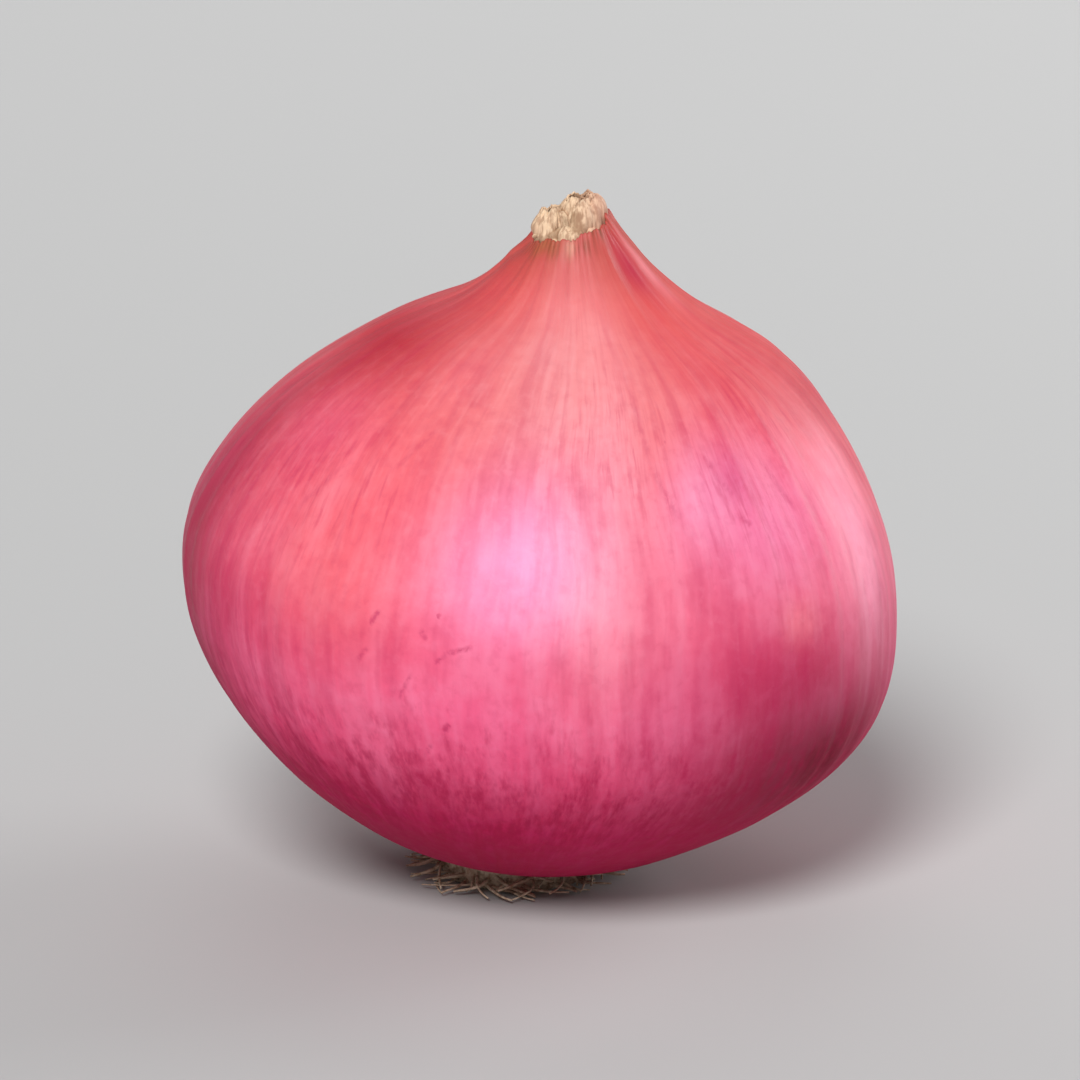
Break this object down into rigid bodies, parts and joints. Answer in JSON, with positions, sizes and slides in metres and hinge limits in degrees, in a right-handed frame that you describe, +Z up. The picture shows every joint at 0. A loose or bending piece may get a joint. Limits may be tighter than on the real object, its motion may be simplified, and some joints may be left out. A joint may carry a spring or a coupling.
{
  "type": "red onion",
  "caption": "Whole red onion with streaked papery skin and raised veins, a drawn-out dry cut neck and a trimmed root plate, standing on a small flat spot.",
  "frame": {"origin": "middle of the flat spot under the root plate that the onion stands on", "axes": "+Z up from root to neck, -Y toward the viewer of the picture; the neck leans about 5 degrees from +Z toward +X"},
  "size_m": [0.0661, 0.0661, 0.0649],
  "materials": {
    "skin": "satin papery skin, crimson with pale pink streaks from neck to root",
    "dry_leaf": "matt, dry, cream leaf stubs",
    "root": "matt, dry, corky tan plate with wiry root stubs"
  },
  "bodies": {
    "root": {"bulb": "skin", "dry_neck": "dry_leaf", "root_plate": "root"}
  },
  "joints": []
}
